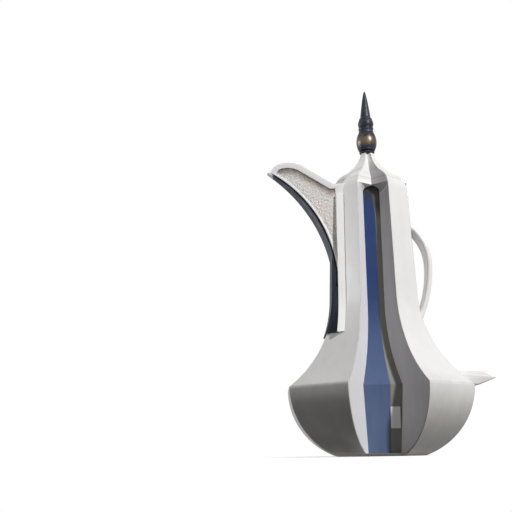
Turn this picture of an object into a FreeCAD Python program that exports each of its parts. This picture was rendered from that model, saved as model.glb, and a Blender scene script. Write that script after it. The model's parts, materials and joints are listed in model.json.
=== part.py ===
import FreeCAD, Part
import math
import os

# Octagonal dallah coffee pot, in millimetres, +Z up.
# The origin is on the pot's axis, on the underside of the foot.
# The spout points to -X, the handle to +X, and the two slots face -Y and +Y.
# The pot is a regular octagon in plan, so most walls are a profile drawn as
# (distance from the axis, height), pulled along one side and mitred at its corners.

# Body profile, as distances from the axis to the flat of a side
WAIST_APOTHEM = 93.0
WAIST_HEIGHT = 70.0
FOOT_APOTHEM = 44.0
NECK_BASE_APOTHEM = 44.2
NECK_BASE_HEIGHT = 164.0
SHOULDER_APOTHEM = 39.4
SHOULDER_RADIUS = 24.85
SHOULDER_DROP = 13.4
SEAM_HEIGHT = 291.0
CROWN_RISE = 35.0
CROWN_HOLLOW_RADIUS = 46.0
STEM_APOTHEM = 6.8

# Sheet and plate thicknesses
WALL = 1.5
FOOT_THICKNESS = 3.0
WEB_THICKNESS = 1.5
VESSEL_WALL = 1.2
SEAT_GAP = 0.3
FIT_GAP = 0.1

# Blue inner vessel
VESSEL_FOOT_INSET = 5.6
VESSEL_WAIST_INSET = 46.0
VESSEL_NECK_APOTHEM = 21.0
VESSEL_NECK_DROP = 8.0

# Mouth ring, slot heads and the groove that runs up the lid above each slot
RING_HEIGHT = 4.0
MOUTH_LIP = 2.0
SEAT_LEDGE = 3.0
SEAT_DEPTH = 2.1
ARCH_RISE = 9.0
ARCH_COVER = 3.5
ARCH_STAND_OFF = 5.0
HEAD_WALL = 2.5
ARCH_SECTIONS = 7
GROOVE_RATIO = 0.45
GROOVE_OVERLAP = 0.3
GROOVE_SECTIONS = 9

# Spout, with heights above or below the seam
TIP_REACH = 112.0
TIP_RISE = 14.5
TIP_HALF_WIDTH = 4.5
TIP_BOW = 2.2
CREST_REACH = 96.0
CREST_RISE = 24.0
SLOPE_REACH = 73.0
SLOPE_RISE = 19.0
SPOUT_BACK_DROP = 5.0
ROOT_HALF_WIDTH = 23.0
KEEL_RADIUS = 156.5
KEEL_BURY = 4.3
KEEL_DROP = 116.5
KEEL_THICKNESS = 1.8
CHEEK_THICKNESS = 3.2
CHEEK_BURY = 8.0
BORDER = 6.5
KEEL_BORDER = 2.0
POCKET_DEPTH = 1.9
INFILL_RECESS = 1.1
SADDLE_THICKNESS = 1.5
SADDLE_LAP = 36.0
FLANGE_HANG = 49.5
FLANGE_DROP = 17.0
FLANGE_INSET = 18.0
FLANGE_WIDTH = 7.0

# Pouring port, duct and strainer between the vessel and the spout
PORT_DROP = 29.0
PORT_LENGTH = 48.0
PORT_HALF_WIDTH = 7.0
DUCT_WALL = 1.5
STRAINER_THICKNESS = 1.0
STRAINER_HOLE_RADIUS = 1.2
STRAINER_PITCH = 4.2

# Handle
HANDLE_STAND_OFF = 18.7
HANDLE_TOP_DROP = 46.0
HANDLE_BOTTOM_DROP = 27.0
HANDLE_MID_RATIO = 7.0 / 12.0
HANDLE_THICKNESS = 5.4
HANDLE_WIDTH = 24.0
SCREW_RADIUS = 1.5
SCREW_HEAD_RADIUS = 2.8
SCREW_HEAD_HEIGHT = 1.6
SCREW_GRIP = 3.0
SCREW_SPREAD = 7.0

# Tilt lug over the waist, under the handle
LUG_THICKNESS = 14.0
LUG_WAIST_GAP = 0.2
LUG_STAND_OFF = 28.0
LUG_TOP_SLANT = 10.0
LUG_BOTTOM_SLANT = 18.0
LUG_WIDTH = 34.0

# Blank plate on the vessel, low in the front slot
PLAQUE_MARGIN = 1.0
PLAQUE_WIDTH = 9.5
PLAQUE_BOTTOM = 27.0
PLAQUE_HEIGHT = 21.0
PLAQUE_THICKNESS = 1.0

# Lid, plug and hinge
LID_CAVITY_LAP = 3.5
LID_WALL = 2.6
LID_CAP = 10.0
PLUG_GAP = 0.9
PLUG_FLANGE_GAP = 0.5
PLUG_FLANGE_HEIGHT = 2.0
PLUG_SKIRT_HEIGHT = 6.0
PLUG_WALL = 1.6
HINGE_STAND_OFF = 3.4
BARREL_RADIUS = 2.8
BARREL_GAP = 0.4
KNUCKLE_HALF = 3.0
KNUCKLE_GAP = 0.25
HINGE_HALF_WIDTH = 9.0
LEAF_THICKNESS = 1.6
BODY_LEAF_LENGTH = 21.0
LID_LEAF_LENGTH = 9.0
LID_LEAF_HALF_WIDTH = 6.0
PIN_RADIUS = 1.25
PIN_GAP = 0.05
PIN_HEAD_RADIUS = 2.1
PIN_HEAD_HEIGHT = 1.2
RIVET_RADIUS = 1.2
RIVET_HEAD_RADIUS = 2.0
RIVET_HEAD_HEIGHT = 0.8
RIVET_SPREAD = 5.5
RIVET_RISE = 4.0

# Finial, stacked on one stud
STUD_RADIUS = 2.0
HOLE_GAP = 0.05
STUD_END_COVER = 24.0
NUT_FLATS = 7.0
NUT_SIDES = 6
NUT_HEIGHT = 3.2
COLLAR_HEIGHT = 3.3
COLLAR_RADIUS = 8.4
BULB_HEIGHT = 21.0
BULB_RADIUS = 11.2
BULB_END_RADIUS = 8.8
SPOOL_HEIGHT = 6.0
SPOOL_RADIUS = 8.0
BEAD_HEIGHT = 9.9
BEAD_RADIUS = 8.6
BEAD_END_RADIUS = 7.6
SPIKE_HEIGHT = 33.8
SPIKE_RADIUS = 6.4
SPIKE_FLANGE_RADIUS = 7.3
SPIKE_FLANGE_HEIGHT = 1.6
SPIKE_POINT_RADIUS = 0.6

# Sides of the octagon, counted counter-clockwise from the handle
HANDLE, BACK_RIGHT, BACK, BACK_LEFT, SPOUT, FRONT_LEFT, FRONT, FRONT_RIGHT = range(8)
FULL_TURN = 360.0
SIDE_TURN = FULL_TURN / 8
HALF_TURN = SIDE_TURN / 2.0
HALF_TAN = math.tan(math.radians(HALF_TURN))

# Heights and reaches that follow from the sizes above
BOWL_DEPTH = WAIST_APOTHEM - FOOT_APOTHEM
BOWL_RADIUS = (BOWL_DEPTH ** 2 + WAIST_HEIGHT ** 2) / (2 * BOWL_DEPTH)
SHOULDER_HEIGHT = SEAM_HEIGHT - SHOULDER_DROP
STEM_HEIGHT = SEAM_HEIGHT + CROWN_RISE
LID_CAVITY_TOP = STEM_HEIGHT - LID_CAP
PETAL_TOP = SEAM_HEIGHT - RING_HEIGHT
VESSEL_FOOT_APOTHEM = FOOT_APOTHEM - VESSEL_FOOT_INSET
VESSEL_WAIST_APOTHEM = WAIST_APOTHEM - VESSEL_WAIST_INSET
VESSEL_NECK_HEIGHT = NECK_BASE_HEIGHT - VESSEL_NECK_DROP
MOUTH_RADIUS = VESSEL_NECK_APOTHEM - MOUTH_LIP
SEAT_RADIUS = MOUTH_RADIUS + SEAT_LEDGE
ARCH_TOP = PETAL_TOP - ARCH_COVER
ARCH_SPRING = ARCH_TOP - ARCH_RISE
ARCH_FACE = VESSEL_NECK_APOTHEM + ARCH_STAND_OFF
PORT_TOP = SEAM_HEIGHT - PORT_DROP
PORT_BOTTOM = PORT_TOP - PORT_LENGTH
TIP_HEIGHT = SEAM_HEIGHT + TIP_RISE
CREST_HEIGHT = SEAM_HEIGHT + CREST_RISE
SLOPE_HEIGHT = SEAM_HEIGHT + SLOPE_RISE
SPOUT_BACK_HEIGHT = SEAM_HEIGHT - SPOUT_BACK_DROP
KEEL_REACH = NECK_BASE_APOTHEM - KEEL_BURY
KEEL_BOTTOM = SEAM_HEIGHT - KEEL_DROP
SADDLE_TOP = KEEL_BOTTOM + SADDLE_LAP
FLANGE_BOTTOM = KEEL_BOTTOM - FLANGE_HANG
FLANGE_TOP = SEAM_HEIGHT - FLANGE_DROP
FLANGE_FAR = FLANGE_INSET + FLANGE_WIDTH
FLANGE_SETBACK = FLANGE_INSET * math.sin(math.radians(SIDE_TURN)) / math.cos(math.radians(HALF_TURN))
HANDLE_REACH = NECK_BASE_APOTHEM + HANDLE_STAND_OFF
HANDLE_TOP = SEAM_HEIGHT - HANDLE_TOP_DROP
HANDLE_BOTTOM = NECK_BASE_HEIGHT - HANDLE_BOTTOM_DROP
HANDLE_MID_HEIGHT = HANDLE_BOTTOM + HANDLE_MID_RATIO * (HANDLE_TOP - HANDLE_BOTTOM)
FINIAL_BASE = STEM_HEIGHT
TOTAL_HEIGHT = FINIAL_BASE + COLLAR_HEIGHT + BULB_HEIGHT + SPOOL_HEIGHT + BEAD_HEIGHT + SPIKE_HEIGHT
FAR = 2.0 * (WAIST_APOTHEM + TIP_REACH + HANDLE_REACH)
TINY = 1e-6
ORIGIN = FreeCAD.Vector(0, 0, 0)
AXIS_X = FreeCAD.Vector(1, 0, 0)
AXIS_Y = FreeCAD.Vector(0, 1, 0)
AXIS_Z = FreeCAD.Vector(0, 0, 1)


# Profiles: a curve is a list of (low height, high height, distance at a height, is round)
def at(distance, height):
    return FreeCAD.Vector(distance, 0, height)


def bulge(centre, radius):
    return lambda z: centre[0] + math.sqrt(radius ** 2 - (z - centre[1]) ** 2)


def hollow(centre, radius):
    return lambda z: centre[0] - math.sqrt(radius ** 2 - (z - centre[1]) ** 2)


def circles_meet(first, first_radius, second, second_radius, turn):
    """One meeting point of two circles: turn +1 is left of the line from first to second."""
    dx = second[0] - first[0]
    dz = second[1] - first[1]
    gap = math.hypot(dx, dz)
    along = (gap ** 2 + first_radius ** 2 - second_radius ** 2) / (2 * gap)
    aside = turn * math.sqrt(first_radius ** 2 - along ** 2)
    return (first[0] + (along * dx - aside * dz) / gap, first[1] + (along * dz + aside * dx) / gap)


BOWL_CENTRE = (WAIST_APOTHEM - BOWL_RADIUS, WAIST_HEIGHT)
SHOULDER_CENTRE = (SHOULDER_APOTHEM - SHOULDER_RADIUS, SHOULDER_HEIGHT)
NECK_RUN = (NECK_BASE_APOTHEM - SHOULDER_CENTRE[0], SHOULDER_CENTRE[1] - NECK_BASE_HEIGHT)
NECK_LEAN = math.atan2(*NECK_RUN) - math.asin(SHOULDER_RADIUS / math.hypot(*NECK_RUN))
NECK_NORMAL = (math.cos(NECK_LEAN), math.sin(NECK_LEAN))
FLARE_RUN = (WAIST_APOTHEM - NECK_BASE_APOTHEM, WAIST_HEIGHT - NECK_BASE_HEIGHT)
FLARE_RADIUS = (FLARE_RUN[0] ** 2 + FLARE_RUN[1] ** 2) / (
    2 * (FLARE_RUN[0] * NECK_NORMAL[0] + FLARE_RUN[1] * NECK_NORMAL[1]))
FLARE_CENTRE = (NECK_BASE_APOTHEM + FLARE_RADIUS * NECK_NORMAL[0],
                NECK_BASE_HEIGHT + FLARE_RADIUS * NECK_NORMAL[1])
CROWN_CENTRE = circles_meet(SHOULDER_CENTRE, SHOULDER_RADIUS + CROWN_HOLLOW_RADIUS,
                            (STEM_APOTHEM, STEM_HEIGHT), CROWN_HOLLOW_RADIUS, -1)


def pot_curve(depth=0.0):
    """The pot's outer profile from foot to stem, moved inwards by a depth."""
    waist = circles_meet(BOWL_CENTRE, BOWL_RADIUS - depth, FLARE_CENTRE, FLARE_RADIUS + depth, -1)
    neck_low = FLARE_CENTRE[1] - (FLARE_RADIUS + depth) * NECK_NORMAL[1]
    neck_high = SHOULDER_CENTRE[1] + (SHOULDER_RADIUS - depth) * NECK_NORMAL[1]
    crown_rise = (CROWN_CENTRE[1] - SHOULDER_CENTRE[1]) / (SHOULDER_RADIUS + CROWN_HOLLOW_RADIUS)
    crown_low = SHOULDER_CENTRE[1] + (SHOULDER_RADIUS - depth) * crown_rise
    neck_foot = FLARE_CENTRE[0] - (FLARE_RADIUS + depth) * NECK_NORMAL[0]
    return [
        (-FAR, waist[1], bulge(BOWL_CENTRE, BOWL_RADIUS - depth), True),
        (waist[1], neck_low, hollow(FLARE_CENTRE, FLARE_RADIUS + depth), True),
        (neck_low, neck_high, lambda z: neck_foot - (z - neck_low) * math.tan(NECK_LEAN), False),
        (neck_high, crown_low, bulge(SHOULDER_CENTRE, SHOULDER_RADIUS - depth), True),
        (crown_low, FAR, hollow(CROWN_CENTRE, CROWN_HOLLOW_RADIUS + depth), True),
    ]


def vessel_curve(depth=0.0):
    """The blue vessel's profile: flat sides below the waist, a flare, then an upright neck."""
    spread = VESSEL_WAIST_APOTHEM - VESSEL_NECK_APOTHEM
    rise = VESSEL_NECK_HEIGHT - WAIST_HEIGHT
    radius = (spread ** 2 + rise ** 2) / (2 * spread)
    centre = (VESSEL_NECK_APOTHEM + radius - depth, VESSEL_NECK_HEIGHT)
    lean = (VESSEL_WAIST_APOTHEM - VESSEL_FOOT_APOTHEM) / WAIST_HEIGHT
    return [
        (-FAR, WAIST_HEIGHT, lambda z: VESSEL_FOOT_APOTHEM - depth + z * lean, False),
        (WAIST_HEIGHT, VESSEL_NECK_HEIGHT, hollow(centre, radius), True),
        (VESSEL_NECK_HEIGHT, FAR, lambda z: VESSEL_NECK_APOTHEM - depth, False),
    ]


def shifted(curve, shift):
    """A curve moved outwards by the same distance at every height."""
    return [(low, high, lambda z, distance=distance: distance(z) + shift, is_round)
            for low, high, distance, is_round in curve]


def distance_at(curve, height):
    for low, high, distance, is_round in curve:
        if low <= height <= high:
            return distance(height)


def trace(curve, bottom, top):
    """The edges of a curve between two heights."""
    edges = []
    for low, high, distance, is_round in curve:
        start = max(low, bottom)
        end = min(high, top)
        if end - start < TINY:
            continue
        ends = at(distance(start), start), at(distance(end), end)
        middle = (start + end) / 2
        if is_round:
            edges.append(Part.Arc(ends[0], at(distance(middle), middle), ends[1]).toShape())
        else:
            edges.append(Part.makeLine(*ends))
    return edges


def closed_face(edges):
    return Part.Face(Part.Wire(Part.__sortEdges__(edges)))


def wall_face(outer, inner, bottom, top):
    """The flat region between two curves."""
    ends = [Part.makeLine(at(distance_at(outer, z), z), at(distance_at(inner, z), z)) for z in (bottom, top)]
    return closed_face(trace(outer, bottom, top) + trace(inner, bottom, top) + ends)


# Solids from profiles
def across(face, start=-FAR, end=FAR):
    """A face in the XZ plane, pulled along Y."""
    moved = face.copy()
    moved.translate(FreeCAD.Vector(0, start, 0))
    return moved.extrude(FreeCAD.Vector(0, end - start, 0))


def turned(shape, side):
    copy = shape.copy()
    copy.rotate(ORIGIN, AXIS_Z, SIDE_TURN * side)
    return copy


def mirrored(shape):
    return shape.mirror(ORIGIN, AXIS_Y)


def wedge():
    """The space between the two mitre planes of one side."""
    corners = [FreeCAD.Vector(0, 0, -FAR), FreeCAD.Vector(FAR, -FAR * HALF_TAN, -FAR),
               FreeCAD.Vector(FAR, FAR * HALF_TAN, -FAR)]
    return Part.Face(Part.makePolygon(corners + corners[:1])).extrude(FreeCAD.Vector(0, 0, 2 * FAR))


def mitred(face, side):
    return turned(across(face).common(wedge()), side)


def beside_mitre(near, far, slot_turn):
    """A slab parallel to one mitre plane of a side, between two distances inside it."""
    start = -far if slot_turn > 0 else near
    slab = Part.makeBox(FAR, far - near, 2 * FAR, FreeCAD.Vector(0, start, -FAR))
    slab.rotate(ORIGIN, AXIS_Z, slot_turn * HALF_TURN)
    return slab


def octagon(curve, bottom, top):
    right = trace(curve, bottom, top)
    left = [edge.mirror(ORIGIN, AXIS_X) for edge in right]
    ends = [Part.makeLine(at(-distance_at(curve, z), z), at(distance_at(curve, z), z)) for z in (bottom, top)]
    block = across(closed_face(right + left + ends))
    solid = block
    for side in (1, 2, 3):
        solid = solid.common(turned(block, side))
    return solid


def tube(radius, start, end, height, reach):
    """A cylinder along Y."""
    return Part.makeCylinder(radius, end - start, FreeCAD.Vector(reach, start, height), AXIS_Y)


def post(radius, bottom, top):
    return Part.makeCylinder(radius, top - bottom, FreeCAD.Vector(0, 0, bottom))


def spun(edges):
    return closed_face(edges).revolve(ORIGIN, AXIS_Z, FULL_TURN)


def saved(name, shape):
    shape.exportStep("parts/" + name + ".step")
    print(name, len(shape.Solids), round(shape.Volume, 1), shape.isValid())


os.makedirs("parts", exist_ok=True)

# Foot, vessel and the walls of the outer shell
POT = pot_curve()
INSIDE = pot_curve(WALL)
pot_block = octagon(POT, 0, SEAM_HEIGHT)

saved("foot_plate", octagon(POT, 0, FOOT_THICKNESS))


def port_box(margin, start, end):
    """The pouring port's opening, grown by a margin, between two distances towards the spout."""
    return Part.makeBox(end - start, 2 * (PORT_HALF_WIDTH + margin), PORT_TOP - PORT_BOTTOM + 2 * margin,
                        FreeCAD.Vector(-end, -PORT_HALF_WIDTH - margin, PORT_BOTTOM - margin))


def inner_vessel():
    outside = octagon(vessel_curve(), FOOT_THICKNESS, PETAL_TOP)
    inside = octagon(vessel_curve(VESSEL_WALL), FOOT_THICKNESS + VESSEL_WALL, PETAL_TOP)
    return outside.cut(inside).cut(port_box(0, 0, VESSEL_NECK_APOTHEM))


saved("inner_vessel", inner_vessel())

PETALS = {"front_left": (FRONT_LEFT, 1), "front_right": (FRONT_RIGHT, -1),
          "back_left": (BACK_LEFT, -1), "back_right": (BACK_RIGHT, 1)}
skin = wall_face(POT, INSIDE, FOOT_THICKNESS, PETAL_TOP)
web_face = wall_face(INSIDE, vessel_curve(-SEAT_GAP), FOOT_THICKNESS, PETAL_TOP)
for place, (side, slot_turn) in PETALS.items():
    saved("petal_" + place, mitred(skin, side))
    web = across(web_face).common(beside_mitre(0, WEB_THICKNESS, slot_turn))
    saved("slot_web_" + place, turned(web, side))

# Groove above each slot: a vee that closes over the vessel in an arch, then shrinks with the crown
def groove_half(height):
    return HALF_TAN * distance_at(POT, height) + GROOVE_OVERLAP


def groove_valley(height):
    """The distance from the axis to the vee's bottom, from the arch's lip up to the stem."""
    share = (STEM_HEIGHT - height) / (STEM_HEIGHT - ARCH_TOP)
    lip_ratio = 1 - ARCH_FACE / distance_at(POT, ARCH_TOP)
    ratio = GROOVE_RATIO + (lip_ratio - GROOVE_RATIO) * share
    return (1 - ratio) * distance_at(POT, height)


def arch_valley(height):
    """The same distance within the arch, where the vee leaves a half ellipse open at the arch's face."""
    rise = min(1, (height - ARCH_SPRING) / ARCH_RISE)
    width = HALF_TAN * ARCH_FACE * math.sqrt(1 - rise ** 2)
    half = groove_half(height)
    return (ARCH_FACE * half - width * distance_at(POT, height)) / (half - width)


def groove_section(height, valley):
    """A triangle with its point at the valley, which passes the groove's two edges half way."""
    far = 2 * distance_at(POT, height) - valley
    wide = 2 * groove_half(height)
    corners = [FreeCAD.Vector(valley, 0, height), FreeCAD.Vector(far, wide, height),
               FreeCAD.Vector(far, -wide, height)]
    return Part.makePolygon(corners + corners[:1])


def spread(count):
    return [i / (count - 1) for i in range(count)]


arch_heights = [ARCH_SPRING + ARCH_RISE * math.sin(share * math.pi / 2) for share in spread(ARCH_SECTIONS)]
groove_heights = [ARCH_TOP + (STEM_HEIGHT - ARCH_TOP) * share for share in spread(GROOVE_SECTIONS)]
arch = Part.makeLoft([groove_section(z, arch_valley(z)) for z in arch_heights], True, True)
groove = Part.makeLoft([groove_section(z, groove_valley(z)) for z in groove_heights], True)
grooves = turned(groove, FRONT).fuse(turned(groove, BACK))


def slot_head(side):
    """The cover over a slot, which carries its two walls up and closes them in front of the vessel."""
    face = wall_face(POT, vessel_curve(HEAD_WALL - ARCH_STAND_OFF), ARCH_SPRING, PETAL_TOP)
    return mitred(face, side).cut(turned(arch, side)).cut(grooves)


saved("slot_head_front", slot_head(FRONT))
saved("slot_head_back", slot_head(BACK))


def mouth_ring():
    ring = octagon(POT, PETAL_TOP, SEAM_HEIGHT).cut(post(MOUTH_RADIUS, PETAL_TOP, SEAM_HEIGHT))
    return ring.cut(post(SEAT_RADIUS, SEAM_HEIGHT - SEAT_DEPTH, SEAM_HEIGHT)).cut(grooves)


saved("mouth_ring", mouth_ring())
plaque_face = wall_face(vessel_curve(-PLAQUE_THICKNESS), vessel_curve(), PLAQUE_BOTTOM,
                        PLAQUE_BOTTOM + PLAQUE_HEIGHT)
plaque_right = HALF_TAN * distance_at(vessel_curve(), PLAQUE_BOTTOM) - PLAQUE_MARGIN
saved("blank_plaque", turned(across(plaque_face, plaque_right - PLAQUE_WIDTH, plaque_right), FRONT))

# Pouring port
duct_start = VESSEL_NECK_APOTHEM + STRAINER_THICKNESS
spout_panel = mitred(skin, SPOUT).cut(port_box(DUCT_WALL + FIT_GAP, 0, FAR))
saved("spout_side_panel", spout_panel)
duct = port_box(DUCT_WALL, duct_start, FAR).cut(port_box(0, 0, FAR)).common(pot_block)
saved("spout_duct", duct)


def strainer():
    plate = port_box(DUCT_WALL, VESSEL_NECK_APOTHEM, duct_start)
    columns = int(PORT_HALF_WIDTH / STRAINER_PITCH)
    rows = int((PORT_TOP - PORT_BOTTOM) / STRAINER_PITCH) - 1
    first = (PORT_TOP + PORT_BOTTOM - (rows - 1) * STRAINER_PITCH) / 2
    spots = [FreeCAD.Vector(0, column * STRAINER_PITCH, first + row * STRAINER_PITCH)
             for column in range(-columns, columns + 1) for row in range(rows)]
    holes = [Part.makeCylinder(STRAINER_HOLE_RADIUS, FAR, spot, -AXIS_X) for spot in spots]
    return plate.cut(Part.makeCompound(holes))


saved("strainer", strainer())

# Spout: a wedge of two cheeks that stand on the keel
KEEL_CENTRE = (-KEEL_REACH - KEEL_RADIUS, KEEL_BOTTOM)
SPOUT_ANGLE = math.degrees(math.atan2(ROOT_HALF_WIDTH - TIP_HALF_WIDTH, TIP_REACH - KEEL_REACH))


def cheek_slab(near, far):
    """The space between two depths behind the front cheek's outer face."""
    slab = Part.makeBox(2 * FAR, far - near, 2 * FAR, FreeCAD.Vector(-FAR, near, -FAR))
    slab.rotate(ORIGIN, AXIS_Z, -SPOUT_ANGLE)
    slab.translate(FreeCAD.Vector(-TIP_REACH, -TIP_HALF_WIDTH, 0))
    return slab


def keel_point(depth, height):
    return at(bulge(KEEL_CENTRE, KEEL_RADIUS + depth)(height), height)


def keel_arc(depth, bottom, top):
    middle = (bottom + top) / 2
    return Part.Arc(keel_point(depth, bottom), keel_point(depth, middle), keel_point(depth, top)).toShape()


def bowed(start, end, rise):
    """An arc from start to end that stands a given rise to the left of the straight line."""
    run = end - start
    side = FreeCAD.Vector(-run.z, 0, run.x).normalize()
    return Part.Arc(start, (start + end) / 2 + side * rise, end).toShape()


def cheek_outline(depth):
    """Lower edge at a depth into the keel, rounded tip and crest, slope to the shoulder, buried back edge."""
    tip = keel_point(depth, TIP_HEIGHT)
    crest = at(-CREST_REACH, CREST_HEIGHT)
    slope = at(-SLOPE_REACH, SLOPE_HEIGHT)
    back = at(-KEEL_REACH, SPOUT_BACK_HEIGHT)
    buried = [at(-KEEL_REACH + CHEEK_BURY, z) for z in (SPOUT_BACK_HEIGHT, KEEL_BOTTOM)]
    straight = [slope, back] + buried + [keel_point(depth, KEEL_BOTTOM)]
    lines = [Part.makeLine(*pair) for pair in zip(straight, straight[1:])]
    top = [bowed(tip, crest, TIP_BOW), bowed(crest, slope, TIP_BOW)]
    return Part.Wire(Part.__sortEdges__([keel_arc(depth, KEEL_BOTTOM, TIP_HEIGHT)] + top + lines))


pocket_outline = cheek_outline(KEEL_THICKNESS - BORDER + KEEL_BORDER)
pocket = Part.Face(pocket_outline.makeOffset2D(-BORDER))
infill = Part.Face(pocket_outline.makeOffset2D(-BORDER - FIT_GAP))
cheek = across(Part.Face(cheek_outline(KEEL_THICKNESS))).common(cheek_slab(0, CHEEK_THICKNESS)).cut(pot_block)
cheek = cheek.cut(across(pocket).common(cheek_slab(-CHEEK_THICKNESS, POCKET_DEPTH)))
cheek_infill = across(infill).common(cheek_slab(INFILL_RECESS, POCKET_DEPTH)).cut(pot_block)
outside_cheeks = cheek_slab(0, FAR).common(mirrored(cheek_slab(0, FAR)))
for place, shape in (("cheek", cheek), ("infill", cheek_infill)):
    saved("spout_" + place + "_front", shape)
    saved("spout_" + place + "_back", mirrored(shape))


def keel():
    low, high = KEEL_BOTTOM, TIP_HEIGHT
    ends = [Part.makeLine(keel_point(0, z), keel_point(KEEL_THICKNESS, z)) for z in (low, high)]
    band = closed_face([keel_arc(0, low, high), keel_arc(KEEL_THICKNESS, low, high)] + ends)
    return across(band).common(outside_cheeks).cut(pot_block)


saved("spout_keel", keel())


def above(height):
    return Part.makeBox(2 * FAR, 2 * FAR, FAR, FreeCAD.Vector(-FAR, -FAR, height))


def saddle():
    """A dark strap folded round the spout side of the neck, under the keel."""
    split = KEEL_BOTTOM - SEAT_GAP
    face = wall_face(pot_curve(-SADDLE_THICKNESS), POT, FLANGE_BOTTOM, SADDLE_TOP)
    strap = mitred(face, SPOUT)
    for side, slot_turn in (PETALS["front_left"], PETALS["back_left"]):
        wing = across(face).common(wedge()).cut(beside_mitre(0, FLANGE_FAR, slot_turn))
        strap = strap.fuse(turned(wing, side))
    under_keel = tube(KEEL_RADIUS, -FAR, FAR, KEEL_CENTRE[1], KEEL_CENTRE[0])
    upper = strap.common(outside_cheeks).common(above(split)).common(under_keel)
    return strap.cut(above(split)).fuse(upper).removeSplitter()


saved("spout_saddle", saddle())


def flange():
    """A wedge in the corner between the spout and a petal, with its face parallel to the slot's side."""
    outer, inner = (shifted(POT, -setback) for setback in (FLANGE_SETBACK, 2 * FLANGE_SETBACK))
    strip = turned(across(wall_face(outer, inner, FLANGE_BOTTOM, FLANGE_TOP)), FRONT)
    strip = strip.common(turned(beside_mitre(0, FLANGE_FAR, 1), FRONT_LEFT))
    return strip.cut(pot_block).cut(outside_cheeks.common(above(KEEL_BOTTOM - SEAT_GAP)))


saved("spout_flange_front", flange())
saved("spout_flange_back", mirrored(flange()))


# Handle: a bow of two tangent arcs, screwed on from inside
def bow_arcs(depth):
    """The bow's upper and lower circles, moved inwards by a depth: (centre, radius)."""
    circles = []
    for end in (HANDLE_TOP, HANDLE_BOTTOM):
        drop = HANDLE_REACH - distance_at(POT, end)
        radius = (drop ** 2 + (end - HANDLE_MID_HEIGHT) ** 2) / (2 * drop)
        circles.append(((HANDLE_REACH - radius, HANDLE_MID_HEIGHT), radius - depth))
    return circles


def bow_face(depth):
    edges = []
    stop = NECK_BASE_APOTHEM / 2
    ends = []
    for (centre, radius), turn in zip(bow_arcs(depth), (1, -1)):
        rise = turn * math.sqrt(radius ** 2 - (stop - centre[0]) ** 2)
        end = at(stop, HANDLE_MID_HEIGHT + rise)
        half_height = HANDLE_MID_HEIGHT + rise / 2
        half = at(bulge(centre, radius)(half_height), half_height)
        edges.append(Part.Arc(at(HANDLE_REACH - depth, HANDLE_MID_HEIGHT), half, end).toShape())
        ends.append(end)
    return closed_face(edges + [Part.makeLine(*ends)])


def screw_heights():
    """Just beyond each height where the bow's inner face first meets the shell."""
    heights = []
    for (centre, radius), end in zip(bow_arcs(HANDLE_THICKNESS), (HANDLE_TOP, HANDLE_BOTTOM)):
        turn = math.copysign(1, end - HANDLE_MID_HEIGHT)
        clear = 0.0
        touching = math.asin(min(1, abs(end - HANDLE_MID_HEIGHT) / radius))
        while touching - clear > TINY:
            middle = (clear + touching) / 2
            reach = centre[0] + radius * math.cos(middle)
            if reach > distance_at(POT, HANDLE_MID_HEIGHT + turn * radius * math.sin(middle)):
                clear = middle
            else:
                touching = middle
        heights.append(HANDLE_MID_HEIGHT + turn * (radius * math.sin(touching) + SCREW_RADIUS))
    return heights


def handle_screws(gap, head):
    shapes = []
    for height in screw_heights():
        seat = min(distance_at(INSIDE, height + turn * SCREW_HEAD_RADIUS) for turn in (-1, 1)) if head else 0
        tip = distance_at(POT, height) + SCREW_GRIP + gap
        for y in (-SCREW_SPREAD, SCREW_SPREAD):
            screw = Part.makeCylinder(SCREW_RADIUS + gap, tip - seat, FreeCAD.Vector(seat, y, height), AXIS_X)
            if head:
                cap = Part.makeCylinder(SCREW_HEAD_RADIUS, SCREW_HEAD_HEIGHT,
                                        FreeCAD.Vector(seat - SCREW_HEAD_HEIGHT, y, height), AXIS_X)
                screw = screw.fuse(cap).removeSplitter()
            shapes.append(screw)
    return Part.makeCompound(shapes)


screw_holes = handle_screws(HOLE_GAP, False)
bow = across(bow_face(0), -HANDLE_WIDTH / 2, HANDLE_WIDTH / 2).cut(across(bow_face(HANDLE_THICKNESS)))
saved("handle_bow", bow.cut(pot_block).cut(screw_holes))
saved("handle_screws", handle_screws(0, True))

# Hinge on the handle side of the seam
HINGE_REACH = distance_at(POT, SEAM_HEIGHT) + HINGE_STAND_OFF
LID_BOTTOM = SEAM_HEIGHT + SEAT_GAP


def barrel(radius, start, end):
    return tube(radius, start, end, SEAM_HEIGHT, HINGE_REACH)


def outer_knuckles(radius, gap):
    inner = KNUCKLE_HALF + KNUCKLE_GAP - gap
    outer = HINGE_HALF_WIDTH + gap
    return barrel(radius, inner, outer).fuse(barrel(radius, -outer, -inner))


def hinge_rivets(gap):
    """Two rivets through the body leaf and the shell, with a head at each end."""
    height = SEAM_HEIGHT - BODY_LEAF_LENGTH + RIVET_RISE
    inner = distance_at(INSIDE, height + RIVET_HEAD_RADIUS)
    outer = distance_at(pot_curve(-LEAF_THICKNESS), height - RIVET_HEAD_RADIUS)
    shapes = []
    for y in (-RIVET_SPREAD, RIVET_SPREAD):
        spot = FreeCAD.Vector(inner, y, height)
        rivet = Part.makeCylinder(RIVET_RADIUS + gap, outer - inner, spot, AXIS_X)
        if not gap:
            for start in (inner - RIVET_HEAD_HEIGHT, outer):
                head = FreeCAD.Vector(start, y, height)
                rivet = rivet.fuse(Part.makeCylinder(RIVET_HEAD_RADIUS, RIVET_HEAD_HEIGHT, head, AXIS_X))
        shapes.append(rivet.removeSplitter())
    return Part.makeCompound(shapes)


rivet_holes = hinge_rivets(HOLE_GAP)
bore = barrel(PIN_RADIUS + PIN_GAP, -FAR, FAR)


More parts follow.
